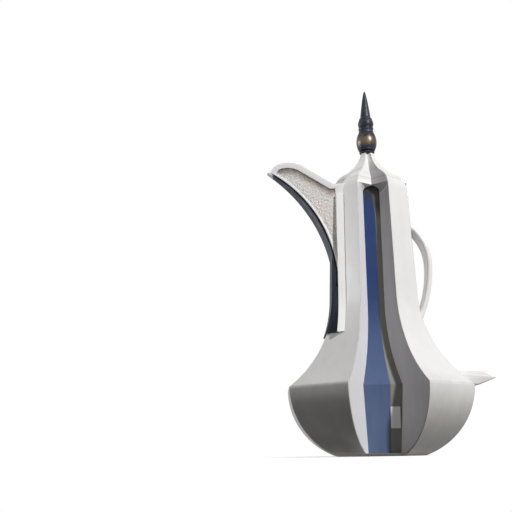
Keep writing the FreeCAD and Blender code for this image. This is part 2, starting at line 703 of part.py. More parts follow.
def body_leaf():
    face = wall_face(pot_curve(-LEAF_THICKNESS), POT, SEAM_HEIGHT - BODY_LEAF_LENGTH, SEAM_HEIGHT - SEAT_GAP)
    leaf = across(face, -HINGE_HALF_WIDTH, HINGE_HALF_WIDTH).fuse(outer_knuckles(BARREL_RADIUS, 0))
    half = KNUCKLE_HALF + KNUCKLE_GAP
    return leaf.cut(barrel(BARREL_RADIUS + BARREL_GAP, -half, half)).cut(bore).cut(rivet_holes)


def lid_leaf():
    face = wall_face(pot_curve(-LEAF_THICKNESS), POT, LID_BOTTOM, SEAM_HEIGHT + LID_LEAF_LENGTH)
    leaf = across(face, -LID_LEAF_HALF_WIDTH, LID_LEAF_HALF_WIDTH)
    leaf = leaf.cut(outer_knuckles(BARREL_RADIUS + BARREL_GAP, KNUCKLE_GAP))
    return leaf.fuse(barrel(BARREL_RADIUS, -KNUCKLE_HALF, KNUCKLE_HALF)).cut(bore)


def hinge_pin():
    shaft_end = HINGE_HALF_WIDTH + KNUCKLE_GAP + PIN_HEAD_HEIGHT
    pin = barrel(PIN_RADIUS, -shaft_end, shaft_end)
    for start in (-shaft_end, shaft_end - PIN_HEAD_HEIGHT):
        pin = pin.fuse(barrel(PIN_HEAD_RADIUS, start, start + PIN_HEAD_HEIGHT))
    return pin.removeSplitter()


saved("hinge_leaf_body", body_leaf())
saved("hinge_leaf_lid", lid_leaf())
saved("hinge_pin", hinge_pin())
saved("hinge_rivets", hinge_rivets(0))
saved("handle_side_panel", mitred(skin, HANDLE).cut(screw_holes).cut(rivet_holes))


def tilt_lug():
    root = WAIST_APOTHEM / 2
    reach = WAIST_APOTHEM + LUG_STAND_OFF
    bottom = WAIST_HEIGHT + LUG_WAIST_GAP
    top = bottom + LUG_THICKNESS
    corners = [at(root, top), at(reach - LUG_TOP_SLANT, top), at(reach, (bottom + top) / 2),
               at(reach - LUG_BOTTOM_SLANT, bottom), at(root, bottom)]
    face = Part.Face(Part.makePolygon(corners + corners[:1]))
    return across(face, -LUG_WIDTH / 2, LUG_WIDTH / 2).cut(pot_block)


saved("tilt_lug", tilt_lug())

# Lid
PLUG_FLANGE_RADIUS = SEAT_RADIUS - PLUG_FLANGE_GAP
PLUG_RADIUS = MOUTH_RADIUS - PLUG_GAP
PLUG_FLANGE_BOTTOM = LID_BOTTOM - PLUG_FLANGE_HEIGHT
STUD_BOTTOM = PLUG_FLANGE_BOTTOM - NUT_HEIGHT
STUD_HOLE_TOP = TOTAL_HEIGHT - STUD_END_COVER
stud_hole = post(STUD_RADIUS + HOLE_GAP, 0, STUD_HOLE_TOP)


def lid_shell():
    """The ogee crown, hollowed to a bell that stays inside the two grooves."""
    middle = (LID_BOTTOM + LID_CAVITY_TOP) / 2
    rim = at(PLUG_FLANGE_RADIUS - LID_CAVITY_LAP, LID_BOTTOM)
    bell = [at(groove_valley(z) - LID_WALL, z) for z in (middle, LID_CAVITY_TOP)]
    corners = [at(0, LID_BOTTOM), rim] + bell + [at(0, LID_CAVITY_TOP)]
    cavity = spun([Part.makeLine(*pair) for pair in zip(corners, corners[1:] + corners[:1])])
    return octagon(POT, LID_BOTTOM, STEM_HEIGHT).cut(cavity).cut(grooves).cut(stud_hole)


def lid_plug():
    flange = post(PLUG_FLANGE_RADIUS, PLUG_FLANGE_BOTTOM, LID_BOTTOM)
    skirt_bottom = PLUG_FLANGE_BOTTOM - PLUG_SKIRT_HEIGHT
    skirt = post(PLUG_RADIUS, skirt_bottom, PLUG_FLANGE_BOTTOM)
    skirt = skirt.cut(post(PLUG_RADIUS - PLUG_WALL, skirt_bottom, PLUG_FLANGE_BOTTOM))
    return flange.fuse(skirt).removeSplitter().cut(stud_hole)


def finial_nut():
    radius = NUT_FLATS / (2 * math.cos(math.pi / NUT_SIDES))
    corners = [FreeCAD.Vector(radius, 0, STUD_BOTTOM)]
    for i in range(NUT_SIDES):
        corners.append(FreeCAD.Rotation(AXIS_Z, FULL_TURN / NUT_SIDES).multVec(corners[-1]))
    prism = Part.Face(Part.makePolygon(corners[:NUT_SIDES] + corners[:1])).extrude(AXIS_Z * NUT_HEIGHT)
    return prism.cut(stud_hole)


saved("lid_shell", lid_shell())
saved("lid_plug", lid_plug())
saved("finial_nut", finial_nut())
saved("finial_stud", post(STUD_RADIUS, STUD_BOTTOM, STUD_HOLE_TOP - HOLE_GAP))


def turned_piece(bottom, height, end_radius, middle_radius):
    """A piece of the finial whose side is one arc."""
    top = bottom + height
    middle = at(middle_radius, bottom + height / 2)
    side = Part.Arc(at(end_radius, bottom), middle, at(end_radius, top)).toShape()
    lines = [Part.makeLine(at(0, z), at(end_radius, z)) for z in (bottom, top)]
    return spun([side, Part.makeLine(at(0, bottom), at(0, top))] + lines).cut(stud_hole)


bulb_base = FINIAL_BASE + COLLAR_HEIGHT
spool_base = bulb_base + BULB_HEIGHT
bead_base = spool_base + SPOOL_HEIGHT
spike_base = bead_base + BEAD_HEIGHT
saved("finial_collar", post(COLLAR_RADIUS, FINIAL_BASE, bulb_base).cut(stud_hole))
saved("finial_bulb", turned_piece(bulb_base, BULB_HEIGHT, BULB_END_RADIUS, BULB_RADIUS))
saved("finial_spool", turned_piece(spool_base, SPOOL_HEIGHT, BULB_END_RADIUS, SPOOL_RADIUS))
saved("finial_bead", turned_piece(bead_base, BEAD_HEIGHT, BEAD_END_RADIUS, BEAD_RADIUS))


def finial_spike():
    flange_top = spike_base + SPIKE_FLANGE_HEIGHT
    corners = [at(0, spike_base), at(SPIKE_FLANGE_RADIUS, spike_base), at(SPIKE_FLANGE_RADIUS, flange_top),
               at(SPIKE_RADIUS, flange_top), at(SPIKE_POINT_RADIUS, TOTAL_HEIGHT), at(0, TOTAL_HEIGHT)]
    return spun([Part.makeLine(*pair) for pair in zip(corners, corners[1:] + corners[:1])]).cut(stud_hole)


saved("finial_spike", finial_spike())
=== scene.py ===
import json
import math

import bpy
import numpy as np
from mathutils import Matrix, Vector


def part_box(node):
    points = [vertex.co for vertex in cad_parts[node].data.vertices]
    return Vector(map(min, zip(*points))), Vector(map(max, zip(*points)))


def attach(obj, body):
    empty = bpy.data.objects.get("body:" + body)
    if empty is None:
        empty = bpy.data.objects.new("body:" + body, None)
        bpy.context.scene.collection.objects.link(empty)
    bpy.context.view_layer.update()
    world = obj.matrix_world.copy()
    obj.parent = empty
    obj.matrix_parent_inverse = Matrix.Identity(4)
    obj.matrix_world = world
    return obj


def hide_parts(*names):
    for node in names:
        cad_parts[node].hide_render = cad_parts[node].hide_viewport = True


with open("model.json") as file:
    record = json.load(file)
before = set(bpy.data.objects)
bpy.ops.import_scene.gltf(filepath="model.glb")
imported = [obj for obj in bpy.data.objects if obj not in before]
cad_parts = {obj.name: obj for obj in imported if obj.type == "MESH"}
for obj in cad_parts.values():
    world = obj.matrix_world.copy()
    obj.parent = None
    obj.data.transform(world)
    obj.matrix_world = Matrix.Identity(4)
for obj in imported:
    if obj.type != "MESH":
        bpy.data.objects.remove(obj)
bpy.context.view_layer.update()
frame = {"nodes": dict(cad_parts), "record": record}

scene = bpy.context.scene
nodes = frame["nodes"]

# Camera, fitted to the photograph's outline
PICTURE_SIZE = 512
SENSOR_WIDTH = 36.0
FOCAL_PIXELS = 895.1
NEAR_CLIP = 0.01
FAR_CLIP = 50.0
EYE = Vector((-0.1139, -0.9468, 0.00727))
EYE_AZIMUTH = math.radians(-6.86)
EYE_YAW = math.radians(7.52)
EYE_PITCH = math.radians(12.28)
EYE_ROLL = math.radians(-0.94)


def make_camera():
    """Forward is the way to the pot's axis, turned by yaw and lifted by pitch.
    Roll then turns right and up about it."""
    data = bpy.data.cameras.new("camera")
    data.sensor_width = SENSOR_WIDTH
    data.lens = FOCAL_PIXELS * SENSOR_WIDTH / PICTURE_SIZE
    data.clip_start = NEAR_CLIP
    data.clip_end = FAR_CLIP
    heading = EYE_AZIMUTH + EYE_YAW
    level = Vector((-math.sin(heading), math.cos(heading), 0))
    up_axis = Vector((0, 0, 1))
    forward = level * math.cos(EYE_PITCH) + up_axis * math.sin(EYE_PITCH)
    right = level.cross(up_axis)
    up = right.cross(forward)
    rolled_right = right * math.cos(EYE_ROLL) + up * math.sin(EYE_ROLL)
    rolled_up = up * math.cos(EYE_ROLL) - right * math.sin(EYE_ROLL)
    turn = Matrix((rolled_right, rolled_up, -forward)).transposed()
    camera = bpy.data.objects.new("camera", data)
    camera.matrix_world = Matrix.Translation(EYE) @ turn.to_4x4()
    scene.collection.objects.link(camera)
    scene.camera = camera


make_camera()

# Sizes of the solids that the pieces below stand for, in millimetres
MM = 0.001
CORNER_STEP = math.radians(45)
HALF_TAN = math.tan(CORNER_STEP / 2)
WAIST_APOTHEM = 93.0
WAIST_LEVEL = 70.0
FOOT_APOTHEM = 44.0
FOOT_TOP = 3.0
NECK_BASE_APOTHEM = 44.2
NECK_BASE_LEVEL = 164.0
SHOULDER_APOTHEM = 39.4
SHOULDER_RADIUS = 24.85
SHOULDER_LEVEL = 277.6
PETAL_TOP = 287.0
LID_BOTTOM = 291.3
STEM_APOTHEM = 6.8
STEM_LEVEL = 326.0
CROWN_HOLLOW_RADIUS = 46.0
WALL = 1.5

# Where the finishes change, in metres, with a low and a high end where a change is gradual
# Painted shade on the bowl: the height it starts under, and how far ragged patches move it
BOWL_SHADE_START = 0.085
BOWL_SHADE_PATCHES = 0.03
SHELL_WEAR_WIDTH = 0.0016
# Painted shade on the handle side of the grooves rises and falls over these heights
SHADE_RISE = (0.185, 0.245)
SHADE_FALL = (0.303, 0.321)
BLUE_FADE = (0.01, 0.20)
# Painted shadow of the arch over the top of the slot and over the olive strip
STRIP_SHADOW_LEAN = (0.248, 0.275)
STRIP_SHADOW = (0.245, 0.262)
ARCH_SHADOW = (0.258, 0.280)
LIP_REACH = (-0.1070, -0.1035)
# Worn warm band on the finial, which is also painted sheen
RUBBED_AND_SHEEN_RADII = (0.0107, 0.0119)
RUBBED_AND_SHEEN_RAGGED = 0.0012

# Where they change across a slot, as shares that slot_aside tells
# Painted shade on the handle side of a groove lies between these shares
SHADE_NEAR = (0.0, 0.03)
SHADE_FAR = (0.400, 0.414)
STRIP_NEAR = (0.145, 0.175)
STRIP_FAR = (0.42, 0.46)
# How far the painted shadow of the arch widens the strip
STRIP_SHADOW_LEAN_SHARE = 0.12

# Colours
WHITE = (1, 1, 1, 1)
WORN_GREY = (0.42, 0.40, 0.37, 1)
# Painted shade on the bowl
BOWL_SHADE_GREY = (0.30, 0.28, 0.255, 1)
# Painted shade on the handle side of the grooves
SHADE_GREY = (0.35, 0.345, 0.36, 1)
DEEP_BLUE = (0.012, 0.036, 0.135, 1)
PALE_BLUE = (0.105, 0.145, 0.255, 1)
BLUE_SHADE = (0.035, 0.055, 0.12, 1)
OLIVE = (0.245, 0.243, 0.212, 1)
# Painted shadow under the arch
SHADOW_BLACK = (0.024, 0.025, 0.021, 1)
INFILL_PINK = (0.90, 0.82, 0.78, 1)
INFILL_GREY = (0.84, 0.83, 0.81, 1)
PIT_BROWN = (0.60, 0.53, 0.50, 1)
# Painted shadow under the spout's upper border
BORDER_SHADOW_BROWN = (0.19, 0.14, 0.11, 1)
WHITEWASH = (0.91, 0.90, 0.90, 1)
# Painted shade on the spout's keel, dark and with paler streaks
SLATE_DARK = (0.007, 0.011, 0.020, 1)
SLATE_RUBBED = (0.026, 0.036, 0.054, 1)
LIP_WHITE = (0.80, 0.79, 0.785, 1)
BRONZE_BLACK = (0.011, 0.013, 0.023, 1)
BRONZE_GREY = (0.038, 0.041, 0.058, 1)
# Worn warm metal, also standing for painted sheen on the bulb
BRONZE_GOLD = (0.16, 0.123, 0.083, 1)
STEEL_DARK = (0.46, 0.46, 0.46, 1)
STEEL_PALE = (0.63, 0.62, 0.60, 1)
FLOOR_GREY = (0.6, 0.6, 0.6, 1)
BOUNCE_GREY = (0.115, 0.108, 0.097, 1)
SKY_GREY = (0.075, 0.077, 0.083, 1)


# Shader helpers
def place(tree, kind, settings=None, **inputs):
    """Adds one node. Settings are the node's own values; inputs are plain values, or sockets to join."""
    node = tree.nodes.new(kind)
    for name, value in (settings or {}).items():
        setattr(node, name, value)
    for name, value in inputs.items():
        join(tree, value, node.inputs[name.replace("_", " ")])
    return node


def join(tree, value, socket):
    if isinstance(value, bpy.types.NodeSocket):
        tree.links.new(value, socket)
    else:
        socket.default_value = value


def maths(tree, operation, *values):
    node = place(tree, "ShaderNodeMath", {"operation": operation})
    for value, socket in zip(values, node.inputs):
        join(tree, value, socket)
    return node.outputs[0]


def product(tree, first, second):
    return maths(tree, "MULTIPLY", first, second)


def total(tree, first, *others):
    for other in others:
        first = maths(tree, "ADD", first, other)
    return first


def blended(tree, factor, first, second):
    """First at factor 0, second at factor 1."""
    node = place(tree, "ShaderNodeMix", {"data_type": "RGBA"})
    for value, index in ((factor, 0), (first, 6), (second, 7)):
        join(tree, value, node.inputs[index])
    return node.outputs[2]


def spread(tree, value, low, high, to_low=0.0, to_high=1.0):
    """A smooth step of value from low to high, carried to the range to_low to to_high."""
    node = place(tree, "ShaderNodeMapRange", {"interpolation_type": "SMOOTHSTEP"}, Value=value)
    for name, number in (("From Min", low), ("From Max", high), ("To Min", to_low), ("To Max", to_high)):
        node.inputs[name].default_value = number
    return node.outputs["Result"]


def grain(tree, point, scale, detail=3.0, roughness=0.5, stretch=(1, 1, 1)):
    """Cloudy noise from 0 to 1. Stretch below 1 draws it out along that axis."""
    mapped = place(tree, "ShaderNodeMapping", Vector=point, Scale=stretch)
    noise = place(tree, "ShaderNodeTexNoise", Vector=mapped.outputs[0], Scale=scale, Detail=detail,
                  Roughness=roughness)
    return noise.outputs["Fac"]


def object_point(tree):
    return place(tree, "ShaderNodeTexCoord").outputs["Object"]


def split(tree, point):
    return place(tree, "ShaderNodeSeparateXYZ", Vector=point).outputs


def axis_distance(tree, xyz):
    """How far a point lies from the pot's upright axis."""
    squares = [maths(tree, "POWER", xyz[axis], 2.0) for axis in (0, 1)]
    return maths(tree, "SQRT", total(tree, *squares))


def slot_aside(tree, xyz):
    """How far a point lies aside of a slot's middle, over its distance from the axis along the slot.
    It is 0 in the middle, and HALF_TAN at the octagon's corner on the handle's side."""
    return maths(tree, "DIVIDE", xyz[0], maths(tree, "ABSOLUTE", xyz[1]))


def seen_rays(tree):
    """1 to the eye, in reflections and through glass, and 0 for light thrown on other surfaces."""
    path = place(tree, "ShaderNodeLightPath").outputs
    indirect = maths(tree, "MAXIMUM", path["Is Glossy Ray"], path["Is Transmission Ray"])
    return maths(tree, "MAXIMUM", path["Is Camera Ray"], indirect)


def attribute(tree, name):
    return place(tree, "ShaderNodeAttribute", {"attribute_name": name}).outputs["Fac"]


def new_group(name, inputs, outputs):
    """A shader node group with named sockets: (tree, its input node's sockets, its output node)."""
    tree = bpy.data.node_groups.new(name, "ShaderNodeTree")
    for direction, sockets in (("INPUT", inputs), ("OUTPUT", outputs)):
        for label, kind in sockets:
            tree.interface.new_socket(label, in_out=direction, socket_type="NodeSocket" + kind)
    return tree, tree.nodes.new("NodeGroupInput").outputs, tree.nodes.new("NodeGroupOutput")


def use_group(tree, group, **inputs):
    node = place(tree, "ShaderNodeGroup", {"node_tree": group})
    for name, value in inputs.items():
        join(tree, value, node.inputs[name])
    return node.outputs


# Node groups for the finishes
def octagon_edges():
    """Near 1 along the eight upright corners and the waist, 0 elsewhere.
    A corner's distance is the angle to it, folded into one eighth turn, times the radius."""
    tree, given, out = new_group("octagon_edges", [("Width", "Float")], [("Edge", "Float")])
    point = object_point(tree)
    xyz = split(tree, point)
    angle = maths(tree, "ARCTAN2", xyz[1], xyz[0])
    folded = maths(tree, "PINGPONG", maths(tree, "ADD", angle, CORNER_STEP / 2), CORNER_STEP / 2)
    corner = product(tree, folded, axis_distance(tree, xyz))
    waist = maths(tree, "ABSOLUTE", maths(tree, "SUBTRACT", xyz[2], WAIST_LEVEL * MM))
    share = maths(tree, "DIVIDE", maths(tree, "MINIMUM", corner, waist), given["Width"])
    wander = grain(tree, point, scale=90.0, detail=4.0)
    ragged = total(tree, share, product(tree, wander, 1.2))
    join(tree, spread(tree, ragged, 0.55, 1.15, 1.0, 0.0), out.inputs["Edge"])
    return tree


def enamel_skin():
    """Cloudy tint, streaks drawn out down the pot, and the fine waviness of fired enamel."""
    tree, given, out = new_group(
        "enamel_skin",
        [("Colour", "Color"), ("Shade", "Color"), ("Amount", "Float"), ("Gloss", "Float")],
        [("Colour", "Color"), ("Roughness", "Float"), ("Height", "Float")])
    point = object_point(tree)
    drawn_down = grain(tree, point, scale=150.0, roughness=0.6, stretch=(1, 1, 0.04))
    cloud = spread(tree, grain(tree, point, scale=16.0, detail=4.0, roughness=0.6), 0.35, 0.7)
    streak = spread(tree, drawn_down, 0.45, 0.75)
    speck = spread(tree, grain(tree, point, scale=700.0, detail=2.0), 0.62, 0.75)
    mottle = total(tree, product(tree, cloud, 0.55), product(tree, streak, 0.45), product(tree, speck, 0.12))
    factor = product(tree, mottle, given["Amount"])
    join(tree, blended(tree, factor, given["Colour"], given["Shade"]), out.inputs["Colour"])
    join(tree, total(tree, given["Gloss"], product(tree, mottle, 0.12)), out.inputs["Roughness"])
    peel = grain(tree, point, scale=420.0, detail=2.0)
    dents = grain(tree, point, scale=38.0, detail=1.0)
    join(tree, total(tree, product(tree, peel, 0.12), dents), out.inputs["Height"])
    return tree


def bowl_painted_shade():
    """Painted shade: 0 above the start height, growing with ragged patches to 1 near the foot.
    It is the drop under the start height over that height, after noise has moved the point up or down."""
    tree, given, out = new_group("bowl_painted_shade", [("Start", "Float")], [("BowlShade", "Float")])
    point = object_point(tree)
    cloud = grain(tree, point, scale=22.0, detail=5.0, roughness=0.6)
    patch = product(tree, maths(tree, "SUBTRACT", cloud, 0.5), BOWL_SHADE_PATCHES)
    drop = maths(tree, "SUBTRACT", given["Start"], total(tree, split(tree, point)[2], patch))
    share = maths(tree, "DIVIDE", drop, given["Start"])
    join(tree, spread(tree, share, 0.0, 0.85), out.inputs["BowlShade"])
    return tree


def groove_shade():
    """Painted shade: the amount on the handle side of each slot's head and of the groove over it, and 0
    elsewhere.
    It fades up the lid and down the slot."""
    tree, given, out = new_group("groove_shade", [("Amount", "Float")], [("Shade", "Float")])
    xyz = split(tree, object_point(tree))
    aside = slot_aside(tree, xyz)
    side = product(tree, spread(tree, aside, *SHADE_NEAR), spread(tree, aside, *SHADE_FAR, 1.0, 0.0))
    band = product(tree, spread(tree, xyz[2], *SHADE_RISE), spread(tree, xyz[2], *SHADE_FALL, 1.0, 0.0))
    join(tree, product(tree, product(tree, side, band), given["Amount"]), out.inputs["Shade"])
    return tree


OCTAGON_EDGES = octagon_edges()
ENAMEL_SKIN = enamel_skin()
BOWL_PAINTED_SHADE = bowl_painted_shade()
GROOVE_SHADE = groove_shade()


# Finishes
def start_material(name):
    material = bpy.data.materials.new(name)
    material.use_nodes = True
    tree = material.node_tree
    return material, tree, tree.nodes["Principled BSDF"]


def dress(tree, shader, colour, roughness, height, distance, **others):
    """Joins a finish to its shader: the height is bumped over a distance, and others are further inputs."""
    bump = place(tree, "ShaderNodeBump", Height=height, Distance=distance)
    sockets = {"Base Color": colour, "Roughness": roughness, "Normal": bump.outputs[0]}
    for name, value in sockets.items():
        tree.links.new(value, shader.inputs[name])
    for name, value in others.items():
        join(tree, value, shader.inputs[name.replace("_", " ")])


def white_enamel(name, colour, shade, gloss, wear_width=0.0):
    """Satin white enamel, cloudy and streaked, with painted shade in grey on the handle side of the grooves.
    With a wear width it is that of the outer shell, which is worn along the corners and the waist
    and carries painted shade from about the waist down."""
    material, tree, shader = start_material(name)
    skin = use_group(tree, ENAMEL_SKIN, Colour=colour, Shade=shade, Amount=0.5, Gloss=gloss)
    finish = skin["Colour"]
    if wear_width:
        edge = use_group(tree, OCTAGON_EDGES, Width=wear_width)["Edge"]
        finish = blended(tree, product(tree, edge, 0.35), finish, WORN_GREY)
        # Painted shade on the bowl, growing towards the foot
        bowl_shade = use_group(tree, BOWL_PAINTED_SHADE, Start=BOWL_SHADE_START)["BowlShade"]
        finish = blended(tree, bowl_shade, finish, BOWL_SHADE_GREY)
    # Painted shade on the handle side of the grooves
    shaded = use_group(tree, GROOVE_SHADE, Amount=0.9)["Shade"]
    finish = blended(tree, shaded, finish, SHADE_GREY)
    dress(tree, shader, finish, skin["Roughness"], skin["Height"], distance=0.0004,
          Coat_Weight=0.12, Coat_Roughness=0.25)
    return material


def blue_enamel():
    """Deep blue enamel that goes paler and greyer towards the foot.
    An olive strip runs along the handle side of each slot. Near the top, painted shadow of the arch widens
    it over the blue and darkens it and the top of the slot."""
    material, tree, shader = start_material("blue_enamel_glaze")
    xyz = split(tree, object_point(tree))
    height = xyz[2]
    aside = slot_aside(tree, xyz)
    # Near the top the strip widens, as painted shadow of the arch
    shadow_leaning = total(tree, aside, spread(tree, height, *STRIP_SHADOW_LEAN, 0.0, STRIP_SHADOW_LEAN_SHARE))
    strip = product(tree, spread(tree, shadow_leaning, *STRIP_NEAR), spread(tree, aside, *STRIP_FAR, 1.0, 0.0))
    # Painted shadow of the arch: the strip's top and the slot's top go nearly black
    strip_shadow = product(tree, strip, spread(tree, height, *STRIP_SHADOW, 0.0, 0.8))
    painted_shadows = maths(tree, "MAXIMUM", spread(tree, height, *ARCH_SHADOW, 0.0, 0.9), strip_shadow)
    colour = blended(tree, spread(tree, height, *BLUE_FADE, 1.0, 0.0), DEEP_BLUE, PALE_BLUE)
    skin = use_group(tree, ENAMEL_SKIN, Colour=colour, Shade=BLUE_SHADE, Amount=0.35, Gloss=0.3)
    finish = blended(tree, painted_shadows, blended(tree, strip, skin["Colour"], OLIVE), SHADOW_BLACK)
    dress(tree, shader, finish, skin["Roughness"], skin["Height"], distance=0.0003,
          Specular_IOR_Level=0.2)
    return material


def hammered_infill():
    """Rough pinkish-grey plate: close hammer marks, grit and darker hollows.
    The piece's own shares of painted shadow, brown under the upper border, and of whitewash, white, lie over
    it."""
    material, tree, shader = start_material("hammered_infill_plate")
    point = object_point(tree)
    cells = place(tree, "ShaderNodeTexVoronoi", {"feature": "SMOOTH_F1"}, Vector=point, Scale=330.0)
    grit = grain(tree, point, scale=900.0, detail=4.0, roughness=0.7)
    cloud = grain(tree, point, scale=60.0)
    tint = blended(tree, spread(tree, cloud, 0.35, 0.65), INFILL_PINK, INFILL_GREY)
    pitted = blended(tree, spread(tree, grit, 0.45, 0.7), tint, PIT_BROWN)
    # Painted shadow, brown and ragged, under the upper border
    ragged = product(tree, attribute(tree, "border_shadow"), spread(tree, cloud, 0.2, 0.6, 0.6, 1.0))
    border_shaded = blended(tree, ragged, pitted, BORDER_SHADOW_BROWN)
    washed = blended(tree, attribute(tree, "whitewash"), border_shaded, WHITEWASH)
    relief = total(tree, cells.outputs[0], product(tree, grit, 0.6))
    dress(tree, shader, washed, spread(tree, grit, 0.3, 0.7, 0.62, 0.9), relief, distance=0.0006)
    return material


def slate_painted_shade():
    """Dark blue-grey painted shade with paler streaks drawn out down the pot, and a white lip at the spout's
    tip.
    """
    material, tree, shader = start_material("slate_painted_shade")
    point = object_point(tree)
    lip = spread(tree, split(tree, point)[0], *LIP_REACH, 1.0, 0.0)
    streak = grain(tree, point, scale=120.0, roughness=0.6, stretch=(1, 1, 0.12))
    patina = blended(tree, spread(tree, streak, 0.4, 0.75), SLATE_DARK, SLATE_RUBBED)
    relief = grain(tree, point, scale=260.0)
    dress(tree, shader, blended(tree, lip, patina, LIP_WHITE), spread(tree, streak, 0.3, 0.8, 0.55, 0.36),
          relief, distance=0.0004, Specular_IOR_Level=0.08)
    return material


def dark_bronze():
    """Blackened bronze, worn back to warm metal where the finial swells furthest from its axis; that warm
    band is also a painted sheen.
    """
    material, tree, shader = start_material("dark_bronze_rubbed_and_sheen")
    point = object_point(tree)
    cloud = grain(tree, point, scale=180.0, detail=4.0, roughness=0.6)
    reach = total(tree, axis_distance(tree, split(tree, point)), product(tree, cloud, RUBBED_AND_SHEEN_RAGGED))
    rubbed_and_sheen = spread(tree, reach, *RUBBED_AND_SHEEN_RADII)
    dark = blended(tree, spread(tree, cloud, 0.35, 0.7), BRONZE_BLACK, BRONZE_GREY)
    colour = blended(tree, product(tree, rubbed_and_sheen, 0.75), dark, BRONZE_GOLD)
    relief = grain(tree, point, scale=320.0)
    dress(tree, shader, colour, spread(tree, cloud, 0.3, 0.75, 0.32, 0.5), relief, distance=0.0003,
          Metallic=spread(tree, rubbed_and_sheen, 0.0, 1.0, 0.15, 1.0), Specular_IOR_Level=0.3)
    return material


def brushed_steel():
    """Plain steel with fine marks drawn out across the pot."""
    material, tree, shader = start_material("brushed_steel_plain")
    marks = grain(tree, object_point(tree), scale=900.0, detail=2.0, roughness=0.6, stretch=(1, 0.05, 1))
    colour = blended(tree, spread(tree, marks, 0.35, 0.7), STEEL_DARK, STEEL_PALE)
    dress(tree, shader, colour, spread(tree, marks, 0.3, 0.7, 0.28, 0.44), marks, distance=0.0001,
          Metallic=1.0)
    return material


FINISHES = {
    "white_enamel": white_enamel("white_enamel_satin", (0.83, 0.81, 0.795, 1), (0.71, 0.685, 0.675, 1), 0.34,
                                 SHELL_WEAR_WIDTH),
    "white_trim": white_enamel("white_enamel_bright", (0.86, 0.85, 0.845, 1), (0.76, 0.75, 0.74, 1), 0.30),
    "blue_enamel": blue_enamel(),
    "hammered_infill": hammered_infill(),
    # The keel's dark slate is painted shade
    "dark_patina": slate_painted_shade(),
    "dark_bronze": dark_bronze(),
    "bare_steel": brushed_steel(),
}
# A brighter and a darker copy of the white enamel: painted light and painted shade
LIT_ENAMEL = white_enamel("white_enamel_painted_light", (0.91, 0.89, 0.885, 1), (0.83, 0.81, 0.805, 1), 0.34)
SHADED_ENAMEL = white_enamel("white_enamel_painted_shade", (0.68, 0.66, 0.65, 1), (0.56, 0.54, 0.53, 1), 0.34)
SLOTS = {subpart["node"]: subpart["material_slot"] for subpart in frame["record"]["subparts"]}
NODE_FINISHES = {node: FINISHES[slot] for node, slot in SLOTS.items()}

# A slot's wall on the handle's side gets the darker copy, painted shade; its other walls, the slot heads,
# the spout's cheeks and the plaque get the brighter copy, painted light
for side in ("front", "back"):
    NODE_FINISHES["slot_head_" + side] = LIT_ENAMEL
    NODE_FINISHES["spout_cheek_" + side] = LIT_ENAMEL
    NODE_FINISHES["slot_web_" + side + "_left"] = LIT_ENAMEL
    NODE_FINISHES["slot_web_" + side + "_right"] = SHADED_ENAMEL
NODE_FINISHES["blank_plaque"] = LIT_ENAMEL
for node, finish in NODE_FINISHES.items():
    mesh = nodes[node].data
    mesh.materials.clear()
    mesh.materials.append(finish)

# The pot's profile, as a distance from the axis to the flat of a side
BOWL_DEPTH = WAIST_APOTHEM - FOOT_APOTHEM
BOWL_RADIUS = (BOWL_DEPTH ** 2 + WAIST_LEVEL ** 2) / (2 * BOWL_DEPTH)
SHOULDER_CENTRE = SHOULDER_APOTHEM - SHOULDER_RADIUS
NECK_RUN = (NECK_BASE_APOTHEM - SHOULDER_CENTRE, SHOULDER_LEVEL - NECK_BASE_LEVEL)
NECK_LEAN = math.atan2(*NECK_RUN) - math.asin(SHOULDER_RADIUS / math.hypot(*NECK_RUN))
FLARE_RUN = (WAIST_APOTHEM - NECK_BASE_APOTHEM, WAIST_LEVEL - NECK_BASE_LEVEL)
FLARE_RADIUS = math.hypot(*FLARE_RUN) ** 2 / (
    2 * (FLARE_RUN[0] * math.cos(NECK_LEAN) + FLARE_RUN[1] * math.sin(NECK_LEAN)))
FLARE_CENTRE = (NECK_BASE_APOTHEM + FLARE_RADIUS * math.cos(NECK_LEAN),
                NECK_BASE_LEVEL + FLARE_RADIUS * math.sin(NECK_LEAN))
RIDGE_SOFTNESS = 0.4


def circle_side(centre, level, radius, turn, z):
    """The distance of a circle's right-hand side, turn 1, or left-hand side, turn -1, at heights z."""
    return centre + turn * np.sqrt(np.maximum(radius ** 2 - (z - level) ** 2, 0))


def soft_least(first, second, softness):
    """The lesser of two curves, with the corner where they cross rounded off."""
    return -softness * np.logaddexp(-first / softness, -second / softness)


def body_profile(z):
    """Bowl under the waist, hollow flare above it, a straight neck, then the round shoulder."""
    bowl_z = np.minimum(z, NECK_BASE_LEVEL)
    bowl = circle_side(WAIST_APOTHEM - BOWL_RADIUS, WAIST_LEVEL, BOWL_RADIUS, 1, bowl_z)
    flare = circle_side(*FLARE_CENTRE, FLARE_RADIUS, -1, z)
    neck = NECK_BASE_APOTHEM - (z - NECK_BASE_LEVEL) * math.tan(NECK_LEAN)
    shoulder = circle_side(SHOULDER_CENTRE, SHOULDER_LEVEL, SHOULDER_RADIUS, 1, z)
    waist = soft_least(bowl, flare, RIDGE_SOFTNESS)
    shoulder_start = SHOULDER_LEVEL + SHOULDER_RADIUS * math.sin(NECK_LEAN)
    return np.select([z < WAIST_LEVEL + BOWL_DEPTH / 2, z < NECK_BASE_LEVEL, z < shoulder_start],
                     [waist, flare, neck], shoulder)


# Helpers for new pieces
SHARP_ANGLE = math.radians(50)
CORNER_SUPPORT = 0.2
ROUND_STEPS = 5


